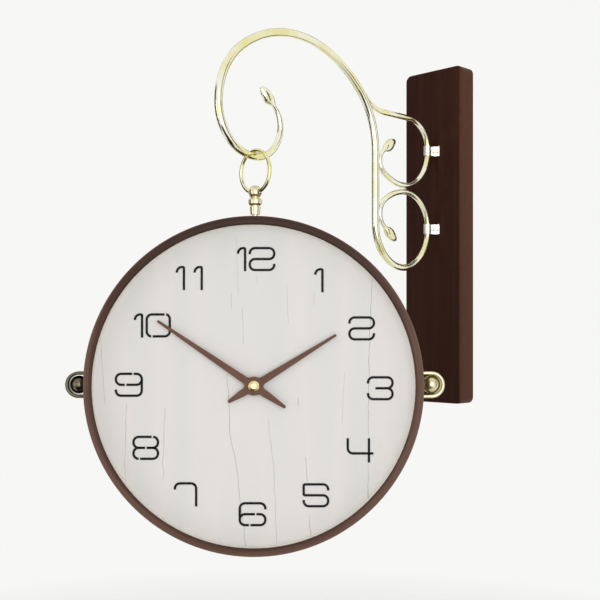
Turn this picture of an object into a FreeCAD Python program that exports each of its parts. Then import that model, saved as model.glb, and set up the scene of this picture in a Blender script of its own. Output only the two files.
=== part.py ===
import FreeCAD, Part
import math
import os
import re
import Sketcher

# A round clock with a dial on both sides, hung by a ring from a scrolled rod on a wall board.
# Wall plane Y = 0, the room at -Y, Z up, origin at the middle of the board's back.

Vector = FreeCAD.Vector
doc = FreeCAD.newDocument("HangingClock")

# Driving sizes, in millimetres, degrees and counts
SIZES = {
    # Wall board
    "board_width": 86,
    "board_height": 412,
    "board_depth": 25,
    "board_corner": 8,
    "board_edge": 2.5,
    # Keyhole hangers let into the board's back
    "hanger_spacing": 280,
    "hanger_width": 20,
    "hanger_length": 46,
    "hanger_plate": 1.6,
    "hanger_recess": 9,
    "hanger_head_room": 1.5,
    "keyhole_radius": 5,
    "keyhole_slot_width": 5,
    "keyhole_slot_length": 12,
    "hanger_screw_radius": 1.5,
    "hanger_screw_length": 14,
    "hanger_screw_inset": 5,
    "hanger_screw_sink": 1.2,
    # Scrolled rod, by the radius of its section
    "rod_radius": 4.4,
    "hook_rod_radius": 4,
    "loop_rod_radius": 3.5,
    "curl_rod_radius": 3.2,
    "neck_radius": 2.3,
    "weld_gap": 0.3,
    "weld_offset": 3.5,
    # Scrolled rod, by the bends of its centre line
    "rod_standoff": 9.6,
    "lower_clip_height": 8.4,
    "upper_clip_height": 104.9,
    "lower_loop_radius": 49.5,
    "lower_top_radius": 42,
    "curl_angle": 35,
    "curl_radius": 20,
    "curl_turn": 110,
    "arm_length": 83.5,
    "shoulder_radius": 96,
    "shoulder_angle": 45.5,
    "crown_radius": 142,
    "brow_radius": 132,
    "brow_angle": 38,
    "cheek_radius": 77,
    "hook_radius": 49.5,
    "hook_rise_radius": 36,
    "hook_tip_radius": 28,
    "hook_tip_angle": 48,
    "side_top_radius": 35,
    "side_curl_radius": 16,
    "branch_radius": 48,
    "branch_angle": 48,
    # Forged buds on the rod's ends
    "bud_length": 25,
    "bud_width": 13,
    "bud_thickness": 9,
    "bud_step": 0.2,
    # Strap clips and their screws
    "clip_height": 12,
    "clip_gauge": 1.2,
    "clip_flange": 6.4,
    "clip_clearance": 0.15,
    "clip_screw_radius": 1.4,
    "clip_screw_head": 2.4,
    "clip_screw_head_height": 1.5,
    "clip_screw_length": 18,
    # Hanging ring
    "ring_radius": 21.8,
    "ring_wire": 2,
    "ring_gap": 0.3,
    # Finial and its swivel
    "ball_radius": 7,
    "ball_groove": 0.3,
    "collar_proud": 2.8,
    "collar_round": 2,
    "collar_height": 8,
    "groove_radius": 4.2,
    "groove_height": 1,
    "cone_radius": 5.8,
    "cone_foot": 5,
    "cone_height": 8,
    "neck_height": 4.8,
    "finial_gap": 0.3,
    "stem_radius": 3,
    "stem_tail": 3,
    "swivel_clearance": 0.05,
    "bush_radius": 5,
    "bush_flange_radius": 9,
    "bush_flange": 1.5,
    "washer_radius": 7,
    "washer_gauge": 1.2,
    "swivel_nut_radius": 5.6,
    "swivel_nut_height": 5,
    # Case
    "swivel_angle": 45,
    "case_radius": 170,
    "band_wall": 8,
    "rim_width": 9,
    "rim_wall": 5,
    "lip_depth": 3,
    "rim_outer_round": 4.5,
    "rim_inner_round": 1.5,
    "rim_pin_radius": 1.25,
    "rim_pin_length": 16,
    "seat_clearance": 0.2,
    "glass_gauge": 2,
    "glass_gap": 0.6,
    "spacer_wall": 3.4,
    "dial_gauge": 3,
    # Stirrups and ball knobs on the case's sides
    "stirrup_radius": 13.6,
    "stirrup_gauge": 3.4,
    "stirrup_width": 15,
    "stirrup_round": 1.5,
    "strap_gauge": 1,
    "knob_ball": 9.3,
    "knob_reach": 11.3,
    "knob_gap": 0.6,
    "knob_neck": 4.6,
    "knob_stem": 2.5,
    "knob_nut_radius": 4.6,
    "knob_nut_height": 4,
    # Movement
    "movement_wall": 1.2,
    "middle_gap": 1,
    "cover_gauge": 1.5,
    "bay_slack": 0.6,
    "bay_wall": 0.8,
    "battery_radius": 7.1,
    "battery_length": 49.2,
    "battery_clearance": 0.1,
    "battery_cap_radius": 2.7,
    "battery_cap_height": 1.2,
    "contact_gauge": 0.6,
    "contact_spring": 1.6,
    "contact_width": 11,
    "coil_radius": 4.5,
    "coil_length": 18,
    "coil_flange": 12,
    "coil_flange_gauge": 1.5,
    "board_plate_width": 20,
    "board_plate_height": 13,
    "board_plate_gauge": 1,
    "coil_inset": 2,
    "coil_gap": 2.3,
    # Motion work
    "running_clearance": 0.1,
    "centre_tube_radius": 5,
    "centre_tube_reach": 2.6,
    "centre_flange_radius": 7,
    "centre_flange": 1,
    "dial_nut_radius": 8,
    "dial_nut_height": 2.2,
    "hour_pipe_radius": 3.35,
    "minute_arbor_radius": 2.05,
    "minute_seat_radius": 1.6,
    "pivot_radius": 0.8,
    "motion_arbor_radius": 1.2,
    "tooth_module": 0.6,
    "cannon_teeth": 10,
    "motion_teeth": 30,
    "pinion_teeth": 8,
    "hour_teeth": 32,
    "wheel_gauge": 1.4,
    "wheel_gap": 0.3,
    "wheel_room": 1.12,
    "cover_boss_radius": 2.2,
    "cover_boss_height": 5,
    "setting_knob_radius": 6,
    "setting_knob_height": 4,
    "setting_knob_gap": 0.5,
    "setting_knob_dish": 4,
    "setting_knob_dish_depth": 1,
    # Hands
    "hand_gauge": 0.8,
    "hand_gap": 0.8,
    "hand_hub_radius": 9.5,
    "hand_blend": 4,
    "hand_root_width": 7.4,
    "hand_tip_width": 2.5,
    "hand_tail_width": 3.2,
    "hour_hand_length": 96.6,
    "hour_hand_tail": 29.7,
    "hour_hand_angle": 58.1,
    "minute_hand_length": 116,
    "minute_hand_tail": 37.4,
    "minute_hand_angle": 304.1,
    "cap_radius": 5.4,
    "cap_height": 2.5,
}

# Places worked out from the sizes. In the case's own frame a face looks along -Y, and its
# levels count from the middle of the case.
PLACES = {
    "board_front": "-board_depth",
    "rod_line": "-board_depth - rod_standoff",
    "clip_line": "rod_line - clip_height ^ 2 / (8 * side_top_radius)",
    "clip_bore": "loop_rod_radius + clip_clearance",
    "clip_outer": "clip_bore + clip_gauge",
    "clip_reach": "clip_outer + clip_flange",
    "clip_screw_place": "clip_outer + clip_flange / 2",
    "keyhole_drop": "keyhole_slot_length / 2",
    "hanger_screw_place": "hanger_length / 2 - hanger_screw_inset",
    "collar_radius": "groove_radius + collar_proud",
    "cone_base": "finial_gap + neck_height",
    "cone_top": "cone_base + cone_height",
    "collar_base": "cone_top + groove_height",
    "collar_top": "collar_base + collar_height",
    "ball_lift": "sqrt(ball_radius ^ 2 - groove_radius ^ 2) + ball_groove",
    "ball_level": "collar_top + ball_lift",
    "ring_sag": "ring_radius - sqrt(ring_radius ^ 2 - ball_radius ^ 2)",
    "ball_hole": "ring_wire + ring_sag / 2 + ring_gap",
    "case_inner": "case_radius - band_wall",
    "bezel_opening": "case_radius - rim_width",
    "bezel_seat": "case_radius - rim_wall",
    "hands_depth": "centre_tube_reach + hand_gap / 2 + 2 * hand_gauge + hand_gap + cap_height",
    "bezel_depth": "lip_depth + glass_gauge + glass_gap + hands_depth + dial_gauge",
    "movement_depth": "movement_wall + coil_flange + coil_gap",
    "knob_depth": "cover_gauge + setting_knob_gap + setting_knob_height",
    "band_end": "-(movement_depth + knob_depth + middle_gap)",
    "rim_front": "band_end - bezel_depth",
    "glass_front": "rim_front + lip_depth",
    "glass_back": "glass_front + glass_gauge",
    "dial_front": "band_end - dial_gauge",
    "seat_radius": "bezel_seat - seat_clearance",
    "rim_pin_ring": "(case_radius + bezel_seat) / 2",
    "flange_top": "sqrt(case_inner ^ 2 - bush_flange_radius ^ 2)",
    "flange_base": "flange_top - bush_flange",
    "washer_base": "flange_base - washer_gauge",
    "swivel_nut_base": "washer_base - swivel_nut_height",
    "stem_end": "swivel_nut_base - stem_tail",
    "strap_radius": "case_radius + strap_gauge",
    "stirrup_inner": "stirrup_radius - stirrup_gauge",
    "knob_centre": "case_radius + knob_reach",
    "stirrup_leg": "knob_reach + knob_ball + knob_gap - stirrup_inner",
    "knob_nut_face": "sqrt(case_inner ^ 2 - knob_nut_radius ^ 2)",
    "knob_stem_end": "knob_nut_face - knob_nut_height - stem_tail",
    "movement_back": "band_end + movement_depth",
    "floor_level": "band_end + movement_wall",
    "half_chamber": "battery_length / 2 + contact_gauge + contact_spring",
    "half_movement": "half_chamber + movement_wall",
    "tooth_tip": "0.8 * tooth_module",
    "hour_tip": "tooth_module * hour_teeth / 2 + tooth_tip",
    "chamber_base": "-(hour_tip + wheel_room)",
    "bay_top": "chamber_base - bay_wall",
    "bay_base": "bay_top - 2 * battery_radius - bay_slack",
    "movement_base": "bay_base - movement_wall",
    "coil_height": "half_chamber - coil_flange / 2 - coil_inset",
    "battery_level": "floor_level + battery_radius + battery_clearance",
    "battery_height": "bay_base + battery_radius + battery_clearance",
    "centre_tube_bore": "hour_pipe_radius + running_clearance",
    "hour_pipe_bore": "minute_arbor_radius + running_clearance",
    "dial_nut_front": "dial_front - dial_nut_height",
    "centre_tube_front": "dial_front - centre_tube_reach",
    "hour_hand_back": "centre_tube_front - hand_gap / 2",
    "hour_hand_front": "hour_hand_back - hand_gauge",
    "minute_hand_back": "hour_hand_front - hand_gap",
    "minute_hand_front": "minute_hand_back - hand_gauge",
    "hand_root": "hand_hub_radius + hand_blend",
    "hand_tip_round": "0.6 * hand_tip_width",
    "hand_tail_round": "0.6 * hand_tail_width",
    "cap_front": "minute_hand_front - cap_height",
    "arbor_front": "minute_hand_front - cap_height / 2",
    "centre_flange_back": "floor_level + centre_flange",
    "pinion_front": "floor_level + wheel_gap",
    "hour_wheel_front": "centre_flange_back + wheel_gap",
    "hour_wheel_back": "hour_wheel_front + wheel_gauge",
    "cannon_front": "hour_wheel_back + wheel_gap",
    "motion_wheel_front": "cannon_front + wheel_gap",
    "motion_wheel_back": "motion_wheel_front + wheel_gauge",
    "cannon_back": "motion_wheel_back + wheel_gap",
    "cover_boss_front": "movement_back - cover_boss_height",
    "cover_back": "movement_back + cover_gauge",
    "setting_knob_front": "cover_back + setting_knob_gap",
    "setting_knob_back": "setting_knob_front + setting_knob_height",
    "motion_offset": "tooth_module * (cannon_teeth + motion_teeth) / 2",
    "tooth_root": "1.05 * tooth_module",
    "tooth_root_half": "0.22 * pi * tooth_module",
    "tooth_tip_half": "0.1 * pi * tooth_module",
    "cannon_root": "tooth_module * cannon_teeth / 2 - tooth_root",
    "motion_root": "tooth_module * motion_teeth / 2 - tooth_root",
    "pinion_root": "tooth_module * pinion_teeth / 2 - tooth_root",
    "hour_root": "tooth_module * hour_teeth / 2 - tooth_root",
}

SHEET_OF = {}


def bound(text):
    """The expression with each alias led by the name of its sheet."""
    return re.sub(r"[a-z]\w+", lambda word: SHEET_OF.get(word[0], "") + word[0], text)


def fill(sheet, cells):
    """Write one named cell per row."""
    for row, (alias, content) in enumerate(cells.items(), start=1):
        text = "=" + bound(content) if isinstance(content, str) else str(content)
        sheet.set(f"A{row}", alias)
        sheet.set(f"B{row}", text)
        sheet.setAlias(f"B{row}", alias)
        SHEET_OF[alias] = sheet.Name + "."


sizes = doc.addObject("Spreadsheet::Sheet", "Sizes")
fill(sizes, SIZES)
places = doc.addObject("Spreadsheet::Sheet", "Places")
fill(places, PLACES)
doc.recompute()

nodes = []


def number(text):
    """The present value of an expression."""
    result = sizes.evalExpression(bound(text))
    return float(getattr(result, "Value", result))


def bind(item, path, text):
    """Tie one property to an expression, or set it where the text is a plain number."""
    if re.search(r"[a-z]", text):
        item.setExpression(path, bound(text))


def keep(item, label, placement=None):
    """Name a finished sub-part and put it in its place."""
    item.Label = label
    if placement is not None:
        item.Placement = placement
    nodes.append(item)
    return item


def new_body(name):
    return doc.addObject("PartDesign::Body", name)


def sketch_on(body, plane, level="0"):
    """An empty sketch on an origin plane of the body, moved along the plane's axis to a level."""
    sketch = body.newObject("Sketcher::SketchObject", body.Name + "_sketch")
    sketch.AttachmentSupport = ([f for f in body.Origin.OriginFeatures if f.Role == plane][0], [""])
    sketch.MapMode = "FlatFace"
    offset = f"-({level})" if plane == "XZ_Plane" else level
    sketch.AttachmentOffset = FreeCAD.Placement(Vector(0, 0, number(offset)), FreeCAD.Rotation())
    bind(sketch, "AttachmentOffset.Base.z", offset)
    return sketch


def hold(sketch, geometry, point, across, along):
    """Hold a point of the sketch at two expressions, measured from the origin."""
    for kind, text in (("DistanceX", across), ("DistanceY", along)):
        constraint = Sketcher.Constraint(kind, -1, 1, geometry, point, number(text))
        bind(sketch, f"Constraints[{sketch.addConstraint(constraint)}]", text)


def arc_between(start, end, radius, side):
    """The smaller arc from start to end that bends to the left or right on its way."""
    chord = end - start
    reach = math.sqrt(max(radius ** 2 - chord.Length ** 2 / 4, 0))
    normal = Vector(-chord.y, chord.x, 0).normalize() * (reach if side == "left" else -reach)
    centre = (start + end) / 2 + normal
    first, last = (start, end) if side == "left" else (end, start)
    angles = [math.atan2(p.y - centre.y, p.x - centre.x) for p in (first, last)]
    return Part.ArcOfCircle(Part.Circle(centre, Vector(0, 0, 1), radius), angles[0], angles[1])


def outline(sketch, corners):
    """A closed outline. A corner is (x, y), or (x, y, side, radius) where an arc leaves it."""
    points = [Vector(number(corner[0]), number(corner[1]), 0) for corner in corners]
    ends = []
    for index, corner in enumerate(corners):
        start, end = points[index], points[(index + 1) % len(points)]
        if len(corner) == 2:
            ends.append((sketch.addGeometry(Part.LineSegment(start, end)), 1, 2))
            continue
        arc = sketch.addGeometry(arc_between(start, end, number(corner[3]), corner[2]))
        ends.append((arc, 1, 2) if corner[2] == "left" else (arc, 2, 1))
    for index, corner in enumerate(corners):
        geometry, first, _ = ends[index]
        before, _, last = ends[index - 1]
        sketch.addConstraint(Sketcher.Constraint("Coincident", before, last, geometry, first))
        hold(sketch, geometry, first, corner[0], corner[1])
        if len(corner) == 4:
            radius = Sketcher.Constraint("Radius", geometry, number(corner[3]))
            bind(sketch, f"Constraints[{sketch.addConstraint(radius)}]", corner[3])
    return sketch


def circle(sketch, across, along, radius):
    """A full circle in the sketch."""
    centre = Vector(number(across), number(along), 0)
    geometry = sketch.addGeometry(Part.Circle(centre, Vector(0, 0, 1), number(radius)))
    hold(sketch, geometry, 3, across, along)
    size = Sketcher.Constraint("Radius", geometry, number(radius))
    bind(sketch, f"Constraints[{sketch.addConstraint(size)}]", radius)
    return sketch


def rectangle(left, right, low, high):
    return [(left, low), (right, low), (right, high), (left, high)]


def hexagon(radius):
    """Corners of a hexagon, by the radius of its corners."""
    half, tall = f"{radius} / 2", f"{radius} * sqrt(3) / 2"
    return [(radius, "0"), (half, tall), (f"-{half}", tall),
            (f"-{radius}", "0"), (f"-{half}", f"-{tall}"), (half, f"-{tall}")]


def feature(body, kind, sketch, length=None, side_type="One side"):
    """A pad or pocket of a sketch. A pocket is checked to take something away."""
    before = body.Shape.Volume if body.Tip else 0
    item = body.newObject("PartDesign::" + kind, body.Name + "_" + kind.lower())
    item.Profile = sketch
    item.SideType = side_type
    item.Length = number(length)
    bind(item, "Length", length)
    doc.recompute()
    if kind == "Pocket" and item.Shape.Volume >= before:
        raise ValueError(body.Name + ": a pocket cuts nothing")
    return item


def pad(body, sketch, length, side_type="One side"):
    return feature(body, "Pad", sketch, length, side_type)


def pocket(body, sketch, length, side_type="One side"):
    return feature(body, "Pocket", sketch, length, side_type)


def turned(name, plane, axis, corners):
    """A body turned about an axis of its sketch."""
    body = new_body(name)
    sketch = outline(sketch_on(body, plane), corners)
    spin = body.newObject("PartDesign::Revolution", name + "_turning")
    spin.Profile = sketch
    spin.ReferenceAxis = (sketch, [axis])
    spin.Angle = 360
    doc.recompute()
    return body


def tube(name, bore, outer, front, back):
    """A ring about the case's Y axis."""
    corners = [(bore, front), (outer, front), (outer, back), (bore, back)]
    return turned(name, "XY_Plane", "V_Axis", corners)


def ease_edges(body, kind, path, size, wanted):
    """Fillet or chamfer the edges of the body's tip that the test picks."""
    base = body.Tip
    names = [f"Edge{i}" for i, edge in enumerate(base.Shape.Edges, start=1) if wanted(edge)]
    item = body.newObject("PartDesign::" + kind, body.Name + "_easing")
    item.Base = (base, names)
    setattr(item, path, number(size))
    bind(item, path, size)
    doc.recompute()


def round_edges(body, radius, wanted):
    ease_edges(body, "Fillet", "Radius", radius, wanted)


def ring_of_teeth(body, teeth, root, front, gauge, turn="0"):
    """One straight-flanked tooth, repeated round the body's Y axis."""
    sketch = sketch_on(body, "XZ_Plane", f"{front} + {gauge}")
    bind(sketch, "AttachmentOffset.Rotation.Angle", turn)
    base = f"{root} - tooth_tip"
    tip = f"{root} + tooth_root + tooth_tip"
    outline(sketch, [(base, "-tooth_root_half"), (root, "-tooth_root_half"), (tip, "-tooth_tip_half"),
                     (tip, "tooth_tip_half"), (root, "tooth_root_half"), (base, "tooth_root_half")])
    tooth = pad(body, sketch, gauge)
    tooth.Refine = False
    pattern = body.newObject("PartDesign::PolarPattern", body.Name + "_teeth")
    pattern.Refine = False
    pattern.Originals = [tooth]
    pattern.Axis = (sketch, ["N_Axis"])
    pattern.Angle = 360
    pattern.Occurrences = round(number(teeth))
    bind(pattern, "Occurrences", teeth)
    body.Tip = pattern
    doc.recompute()


def group(label, items):
    """Several like solids in one sub-part."""
    compound = doc.addObject("Part::Compound", label)
    compound.Links = items
    return keep(compound, label)


def spot(x, y, z, axis=Vector(0, 0, 1), angle=0):
    return FreeCAD.Placement(Vector(x, y, z), FreeCAD.Rotation(axis, angle))


def primitive(kind, name, placement, **lengths):
    """A Part primitive with its lengths tied to expressions."""
    item = doc.addObject("Part::" + kind, name)
    for path, text in lengths.items():
        setattr(item, path, number(text))
        bind(item, path, text)
    item.Placement = placement
    return item


class Rod:
    """A round rod bent in the plane X = 0, drawn from a start point along straight runs and arcs."""

    def __init__(self, along, height, heading):
        self.point = Vector(0, along, height)
        self.heading = heading
        self.spans = []

    def direction(self):
        angle = math.radians(self.heading)
        return Vector(0, math.cos(angle), math.sin(angle))

    def section(self, radius):
        return Part.Wire(Part.makeCircle(radius, self.point, self.direction()))

    def run(self, length, radius):
        """A straight run of even section."""
        first = Part.Face(self.section(radius))
        self.spans.append(first.extrude(self.direction() * length))
        self.point = self.point + self.direction() * length

    def bend(self, radius, turn, start_radius, end_radius):
        """An arc, to the left where the turn is positive, looking along -X with +Y to the right."""
        first = self.section(start_radius)
        start = self.point
        hand = 1 if turn > 0 else -1
        side = Vector(0, -self.direction().z, self.direction().y)
        centre = start + side * radius * hand
        spin = [FreeCAD.Rotation(Vector(1, 0, 0), turn * share) for share in (0.5, 1)]
        middle, self.point = [centre + share.multVec(start - centre) for share in spin]
        self.heading += turn
        if start_radius == end_radius:
            self.spans.append(Part.Face(first).revolve(centre, Vector(hand, 0, 0), abs(turn)))
            return
        spine = Part.Wire(Part.Arc(start, middle, self.point).toShape())
        self.spans.append(spine.makePipeShell([first, self.section(end_radius)], True, False))

    def bud(self, length, width, thickness, neck):
        """A flattened, pointed bud that swells from the neck."""
        forward = self.direction()
        side = Vector(0, -forward.z, forward.y)
        wires = []
        foot = neck - number("bud_step")
        quarters = [Part.makeCircle(1, Vector(), Vector(0, 0, 1), turn, turn + 90)
                    for turn in (0, 90, 180, 270)]
        base = (0, 2 * foot / width, 2 * foot / thickness)
        for place, wide, thick in (base, (0.14, 0.62, 0.78), (0.4, 1, 1), (0.7, 0.86, 0.86),
                                   (0.92, 0.48, 0.5), (1, 0.16, 0.18)):
            centre = self.point + forward * length * place
            broad = side * wide * width / 2
            deep = Vector(thick * thickness / 2, 0, 0)
            frame = [value for pair in zip(broad, deep, forward, centre) for value in pair]
            wires.append(Part.Wire(quarters).transformGeometry(FreeCAD.Matrix(*frame)))
        self.spans.append(Part.makeLoft(wires, True, False))


def welded(rods):
    """One solid from the spans of several rods."""
    spans = [span for rod in rods for span in rod.spans]
    return spans[0].multiFuse(spans[1:]).removeSplitter()


# Scrolled rod: the bends that follow from the gaps between its loops and the arm
rod_line = number("rod_line")
lower_height = number("lower_clip_height")
upper_height = number("upper_clip_height")
lower_top = number("lower_top_radius")
arm_line = rod_line - 2 * number("lower_loop_radius")
arm_top = lower_height + number("arm_length")
loop_rod = number("loop_rod_radius")
arm_rod = number("rod_radius")
curl_rod = number("curl_rod_radius")
neck = number("neck_radius")
weld_gap = number("weld_gap")
curl_sine = math.sin(math.radians(number("curl_angle")))
curl_side = arm_line + arm_rod + loop_rod + weld_gap
side_bend = upper_height - lower_height - lower_top - 2 * loop_rod - weld_gap


def wide_curl(top_line, tight):
    """Radius that brings a curl from its top line just beside the arm."""
    return (top_line - curl_side - tight * (1 - curl_sine)) / curl_sine


def curl(rod, top_line, tight, hand):
    """The end of a loop: a wide bend, a tight one and the bud."""
    rod.bend(wide_curl(top_line, tight), hand * number("curl_angle"), loop_rod, curl_rod)
    rod.bend(tight, hand * number("curl_turn"), curl_rod, neck)
    rod.bud(number("bud_length"), number("bud_width"), number("bud_thickness"), neck)


# Main scroll: from the lower clip down round the loop, up the arm, over the crown to the hook
long_way = Rod(rod_line, lower_height, -90)
half_taper = (loop_rod + arm_rod) / 2
long_way.bend(number("lower_loop_radius"), -90, loop_rod, half_taper)
long_way.bend(number("lower_loop_radius"), -90, half_taper, arm_rod)
long_way.run(number("arm_length"), arm_rod)
long_way.bend(number("shoulder_radius"), number("shoulder_angle"), arm_rod, arm_rod)
long_way.bend(number("crown_radius"), number("90 - shoulder_angle"), arm_rod, arm_rod)
long_way.bend(number("brow_radius"), number("brow_angle"), arm_rod, arm_rod)
long_way.bend(number("cheek_radius"), number("90 - brow_angle"), arm_rod, arm_rod)
long_way.bend(number("hook_radius"), 90, arm_rod, number("hook_rod_radius"))
hook_bottom = long_way.point
long_way.bend(number("hook_rise_radius"), 90, number("hook_rod_radius"), curl_rod)
long_way.bend(number("hook_tip_radius"), number("hook_tip_angle"), curl_rod, neck)
long_way.bud(number("bud_length"), number("bud_width"), number("bud_thickness"), neck)
short_way = Rod(rod_line, lower_height, 90)
short_way.bend(lower_top, 90, loop_rod, loop_rod)
curl(short_way, rod_line - lower_top, number("curl_radius"), 1)
main_scroll = keep(doc.addObject("Part::Feature", "main_scroll"), "main_scroll")
main_scroll.Shape = welded([long_way, short_way])

# Side scroll: its branch is coped onto the arm's shoulder, its loop stands above the lower loop
branch_radius = number("branch_radius")
branch_angle = math.radians(number("branch_angle"))
branch_top = upper_height + number("side_top_radius")
branch_end = branch_top + branch_radius * (1 - math.cos(branch_angle))
shoulder_centre = arm_line - number("shoulder_radius")
weld_reach = number("shoulder_radius + weld_offset")
branch_line = shoulder_centre + math.sqrt(weld_reach ** 2 - (branch_end - arm_top) ** 2)
bridge = rod_line - number("side_top_radius") - branch_line - branch_radius * math.sin(branch_angle)
branch = Rod(rod_line, upper_height, 90)
branch.bend(number("side_top_radius"), 90, loop_rod, loop_rod)
branch.run(bridge, loop_rod)
branch.bend(branch_radius, -number("branch_angle"), loop_rod, neck)
loop = Rod(rod_line, upper_height, -90)
loop.bend(side_bend, -90, loop_rod, loop_rod)
curl(loop, rod_line - side_bend, number("side_curl_radius"), -1)
side_scroll = keep(doc.addObject("Part::Feature", "side_scroll"), "side_scroll")
side_scroll.Shape = welded([branch, loop]).cut(main_scroll.Shape)


# Wall board: eased hardwood with recesses for the hangers and pilot holes for every screw
board = new_body("wall_board")
half_board = rectangle("-board_width / 2", "board_width / 2", "-board_height / 2", "board_height / 2")
pad(board, outline(sketch_on(board, "XZ_Plane"), half_board), "board_depth")
round_edges(board, "board_corner", lambda edge: edge.BoundBox.YLength > number("board_depth") / 2)
front_edge = number("board_front")
round_edges(board, "board_edge", lambda edge: abs(edge.BoundBox.YMax - front_edge) < 1e-6)
hanger_heights = ("-hanger_spacing / 2", "hanger_spacing / 2")


def hanger_rectangle(height, half_width, below, above):
    return rectangle(f"-({half_width})", half_width, f"{height} - ({below})", f"{height} + {above}")


for height in hanger_heights:
    plate_bed = hanger_rectangle(height, "hanger_width / 2", "hanger_length / 2", "hanger_length / 2")
    pocket(board, outline(sketch_on(board, "XZ_Plane", "-hanger_plate"), plate_bed), "hanger_plate")
    head_room = hanger_rectangle(height, "keyhole_radius + hanger_head_room",
                                 "keyhole_drop + keyhole_radius + hanger_head_room",
                                 "keyhole_drop + keyhole_radius + hanger_head_room")
    pocket(board, outline(sketch_on(board, "XZ_Plane", "-hanger_recess"), head_room), "hanger_recess")
    for side in ("-", ""):
        pilot = sketch_on(board, "XZ_Plane", "-hanger_screw_length")
        circle(pilot, "0", f"{height} + {side}hanger_screw_place", "hanger_screw_radius")
        pocket(board, pilot, "hanger_screw_length")
for height in ("lower_clip_height", "upper_clip_height"):
    for side in ("-", ""):
        pilot = sketch_on(board, "XZ_Plane", "board_front")
        circle(pilot, f"{side}clip_screw_place", height, "clip_screw_radius")
        pocket(board, pilot, "clip_screw_length - clip_gauge")
keep(board, "wall_board")


def hanger(name, height):
    """A steel plate with a keyhole: a round entry below a slot for the wall screw's neck."""
    body = new_body(name)
    face = hanger_rectangle(height, "hanger_width / 2", "hanger_length / 2", "hanger_length / 2")
    pad(body, outline(sketch_on(body, "XZ_Plane"), face), "hanger_plate")
    entry = circle(sketch_on(body, "XZ_Plane", "-hanger_plate"), "0", f"{height} - keyhole_drop",
                   "keyhole_radius")
    pocket(body, entry, "hanger_plate")
    slot = hanger_rectangle(height, "keyhole_slot_width / 2", "keyhole_drop", "keyhole_drop")
    pocket(body, outline(sketch_on(body, "XZ_Plane", "-hanger_plate"), slot), "hanger_plate")
    for side in ("-", ""):
        hole = circle(sketch_on(body, "XZ_Plane", "-hanger_plate"), "0",
                      f"{height} + {side}hanger_screw_place", "hanger_screw_radius")
        pocket(body, hole, "hanger_plate")
    bore = number("2 * hanger_screw_radius")
    ease_edges(body, "Chamfer", "Size", "hanger_screw_sink", lambda edge: abs(edge.BoundBox.YMin) < 1e-6
               and abs(edge.BoundBox.XLength - bore) < 1e-3 and edge.Curve.TypeId == "Part::GeomCircle")
    return body


def hanger_screw(name, height):
    """A countersunk wood screw, flush with the plate."""
    body = turned(name, "XY_Plane", "V_Axis", [
        ("0", "0"), ("hanger_screw_radius + hanger_screw_sink", "0"),
        ("hanger_screw_radius", "-hanger_screw_sink"), ("hanger_screw_radius", "-hanger_screw_length"),
        ("0", "-hanger_screw_length")])
    body.Placement = spot(0, 0, number(height))
    return body


group("keyhole_hangers", [hanger(f"hanger_{i}", height) for i, height in enumerate(hanger_heights)])
screw_heights = [f"{middle} + {side}hanger_screw_place" for middle in hanger_heights for side in ("-", "")]
group("hanger_screws", [hanger_screw(f"hanger_screw_{i}", height) for i, height in enumerate(screw_heights)])


def clip(name, height):
    """A strap bent over the rod, with a screw flange on either side."""
    body = new_body(name)
    level = f"{height} - clip_height / 2"
    crown, bend = "clip_line - clip_outer", "clip_line - clip_bore"
    flange = "board_front - clip_gauge"
    shape = [("-clip_reach", "board_front"), ("-clip_reach", flange), ("-clip_outer", flange),
             ("-clip_outer", "clip_line", "left", "clip_outer"), ("0", crown, "left", "clip_outer"),
             ("clip_outer", "clip_line"), ("clip_outer", flange), ("clip_reach", flange),
             ("clip_reach", "board_front"), ("clip_bore", "board_front"),
             ("clip_bore", "clip_line", "right", "clip_bore"), ("0", bend, "right", "clip_bore"),
             ("-clip_bore", "clip_line"), ("-clip_bore", "board_front")]
    pad(body, outline(sketch_on(body, "XY_Plane", level), shape), "clip_height")
    for side in ("-", ""):
        hole = circle(sketch_on(body, "XZ_Plane", flange), f"{side}clip_screw_place", height,
                      "clip_screw_radius")
        pocket(body, hole, "clip_gauge")
    return keep(body, name)


clip("upper_clip", "upper_clip_height")
clip("lower_clip", "lower_clip_height")


def clip_screw(name, side, height):
    """A dome-headed wood screw."""
    body = turned(name, "XY_Plane", "V_Axis", [
        ("0", "-clip_screw_head_height"),
        ("clip_screw_head / 2", "-clip_screw_head_height"),
        ("clip_screw_head", "-clip_screw_head_height / 2"),
        ("clip_screw_head", "0"),
        ("clip_screw_radius", "0"),
        ("clip_screw_radius", "clip_screw_length"),
        ("0", "clip_screw_length")])
    body.Placement = spot(number(f"{side}clip_screw_place"), number("board_front - clip_gauge"),
                          number(height))
    return body


group("clip_screws", [clip_screw(f"clip_screw_{height[0]}{i}", side, height)
                      for height in ("lower_clip_height", "upper_clip_height")
                      for i, side in enumerate(("-", ""))])

# Hanging ring: drawn wire, hung on the hook's lowest point, square to the rod
ring_rest = number("hook_rod_radius + ring_wire + ring_gap - ring_radius")
ring_centre = hook_bottom + Vector(0, 0, ring_rest)
keep(primitive("Torus", "hanging_ring", spot(0, 0, 0), Radius1="ring_radius", Radius2="ring_wire"),
     "hanging_ring", FreeCAD.Placement(ring_centre, FreeCAD.Rotation(Vector(1, 0, 0), 90)))

# The ball's bore hangs on the ring's lowest arc, with the same room above and below the wire
ball_height = ring_centre.z + number("ring_sag / 2 - ring_radius")
swivel_axis = hook_bottom.y
case_top = ball_height - number("ball_level")
case_centre = case_top - number("case_radius")
swivel = spot(0, swivel_axis, case_centre)


def in_case(turn=0, x=0, spin=0):
    """A place in the case's frame, for the front face or turned about to the other."""
    whole = spot(0, swivel_axis, case_centre, Vector(0, 0, 1), number("swivel_angle") + turn)
    return whole.multiply(spot(x, 0, 0, Vector(0, 1, 0), spin))


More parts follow.
